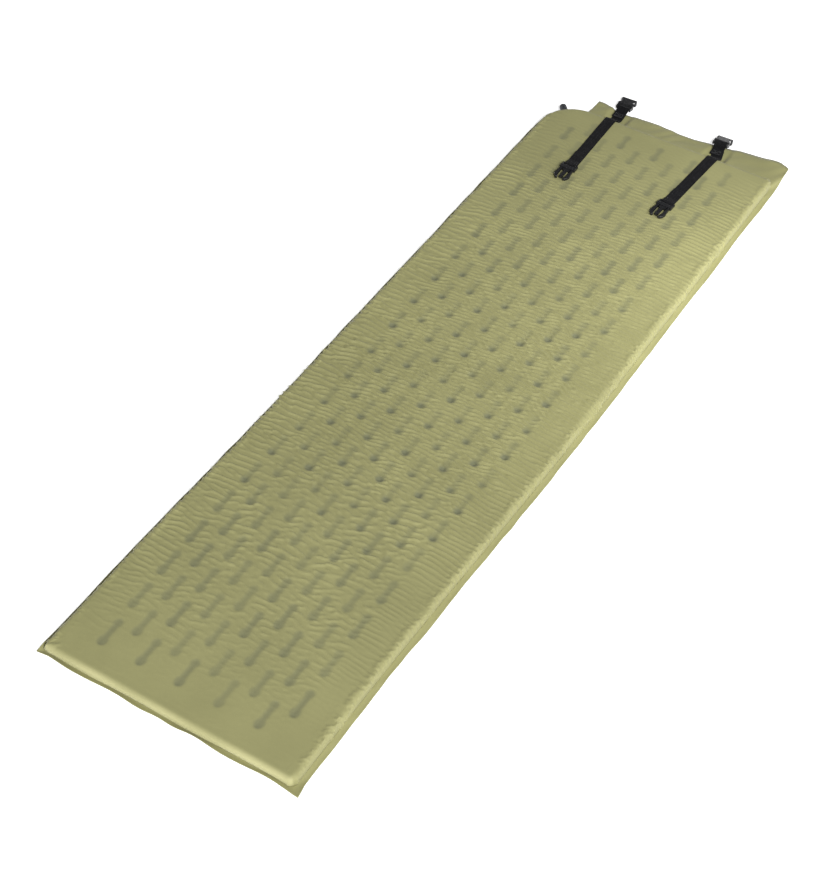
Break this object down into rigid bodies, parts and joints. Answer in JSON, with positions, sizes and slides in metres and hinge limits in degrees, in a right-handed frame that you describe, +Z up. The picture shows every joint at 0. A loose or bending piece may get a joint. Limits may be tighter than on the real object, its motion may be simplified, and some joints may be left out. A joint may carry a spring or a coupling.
{
  "type": "sleeping pad",
  "caption": "Long flat self-inflating sleeping pad with a foam core in coated fabric, a twist valve at one corner and buckled webbing straps at the head end.",
  "frame": {"origin": "on the floor under the pad, midway across its width and near the middle of its length, in the plane of the underside", "axes": "+Y along the pad towards the head end with the straps, +X to the right seen from the foot end, +Z up"},
  "size_m": [0.5325, 1.8574, 0.0335],
  "materials": {
    "foam": "open-cell polyurethane foam, die-cut",
    "top_fabric": "coated woven polyester, olive, slight sheen, finely wrinkled",
    "bottom_fabric": "coated woven polyester, olive, matt",
    "webbing": "woven black webbing with a fine rib",
    "thread": "black sewing thread",
    "buckle_plastic": "moulded black acetal, fine texture",
    "valve_plastic": "moulded black plastic",
    "seal_rubber": "black rubber seal"
  },
  "bodies": {
    "pad": {"foam_core": "foam", "top_skin": "top_fabric", "bottom_skin": "bottom_fabric", "valve_body": "valve_plastic", "strap_tab_left": "webbing", "buckle_loop_left": "webbing", "stitching_left": "thread", "strap_tab_right": "webbing", "buckle_loop_right": "webbing", "stitching_right": "thread"},
    "valve_stopper": {"valve_plug": "valve_plastic", "valve_seal": "seal_rubber"},
    "valve_cap": {"valve_cap": "valve_plastic"},
    "strap_left": {"strap_left": "webbing"},
    "male_buckle_left": {"male_buckle_left": "buckle_plastic"},
    "buckle_arm_left_inner": {"buckle_arm_left_inner": "buckle_plastic"},
    "buckle_arm_left_outer": {"buckle_arm_left_outer": "buckle_plastic"},
    "female_buckle_left": {"female_buckle_left": "buckle_plastic"},
    "strap_right": {"strap_right": "webbing"},
    "male_buckle_right": {"male_buckle_right": "buckle_plastic"},
    "buckle_arm_right_inner": {"buckle_arm_right_inner": "buckle_plastic"},
    "buckle_arm_right_outer": {"buckle_arm_right_outer": "buckle_plastic"},
    "female_buckle_right": {"female_buckle_right": "buckle_plastic"}
  },
  "joints": [
    {"name": "valve_stopper_slide", "type": "slide", "parent": "pad", "child": "valve_stopper", "axis": [-0.6691, 0.7431, 0], "range_m": [0, 0.0036]},
    {"name": "valve_cap_turn", "type": "hinge", "parent": "valve_stopper", "child": "valve_cap", "pos_m": [-0.21953, 0.82045, 0.0135], "axis": [-0.6691, 0.7431, 0], "range_deg": [0, 540]},
    {"name": "strap_left_lift", "type": "hinge", "parent": "pad", "child": "strap_left", "pos_m": [-0.117, 0.834, 0.0269], "axis": [-0.9998, -0.0175, 0], "range_deg": [0, 150]},
    {"name": "male_buckle_left_tilt", "type": "hinge", "parent": "strap_left", "child": "male_buckle_left", "pos_m": [-0.11375, 0.64803, 0.029], "axis": [-0.9998, -0.0175, 0], "range_deg": [0, 110]},
    {"name": "buckle_arm_left_inner_squeeze", "type": "hinge", "parent": "male_buckle_left", "child": "buckle_arm_left_inner", "pos_m": [-0.10128, 0.63224, 0.029], "axis": [0, 0, -1], "range_deg": [0, 5], "stiffness_Nm_per_rad": 0.3},
    {"name": "buckle_arm_left_outer_squeeze", "type": "hinge", "parent": "male_buckle_left", "child": "buckle_arm_left_outer", "pos_m": [-0.12567, 0.63182, 0.029], "axis": [0, 0, 1], "range_deg": [0, 5], "stiffness_Nm_per_rad": 0.3},
    {"name": "female_buckle_left_tilt", "type": "hinge", "parent": "pad", "child": "female_buckle_left", "pos_m": [-0.12096, 0.90638, 0.0094], "axis": [0.999, 0.0436, 0], "range_deg": [0, 110]},
    {"name": "strap_right_lift", "type": "hinge", "parent": "pad", "child": "strap_right", "pos_m": [0.1235, 0.834, 0.0269], "axis": [-0.9977, 0.068, 0], "range_deg": [0, 150]},
    {"name": "male_buckle_right_tilt", "type": "hinge", "parent": "strap_right", "child": "male_buckle_right", "pos_m": [0.11085, 0.64843, 0.029], "axis": [-0.9977, 0.068, 0], "range_deg": [0, 110]},
    {"name": "buckle_arm_right_inner_squeeze", "type": "hinge", "parent": "male_buckle_right", "child": "buckle_arm_right_inner", "pos_m": [0.12193, 0.63164, 0.029], "axis": [0, 0, -1], "range_deg": [0, 5], "stiffness_Nm_per_rad": 0.3},
    {"name": "buckle_arm_right_outer_squeeze", "type": "hinge", "parent": "male_buckle_right", "child": "buckle_arm_right_outer", "pos_m": [0.09759, 0.6333, 0.029], "axis": [0, 0, 1], "range_deg": [0, 5], "stiffness_Nm_per_rad": 0.3},
    {"name": "female_buckle_right_tilt", "type": "hinge", "parent": "pad", "child": "female_buckle_right", "pos_m": [0.11338, 0.89783, 0.0168], "axis": [0.9994, 0.0349, 0], "range_deg": [0, 110]}
  ],
  "couplings": [
    {"joint": "valve_cap_turn", "follows": "valve_stopper_slide", "rad_per_m": 2618}
  ]
}
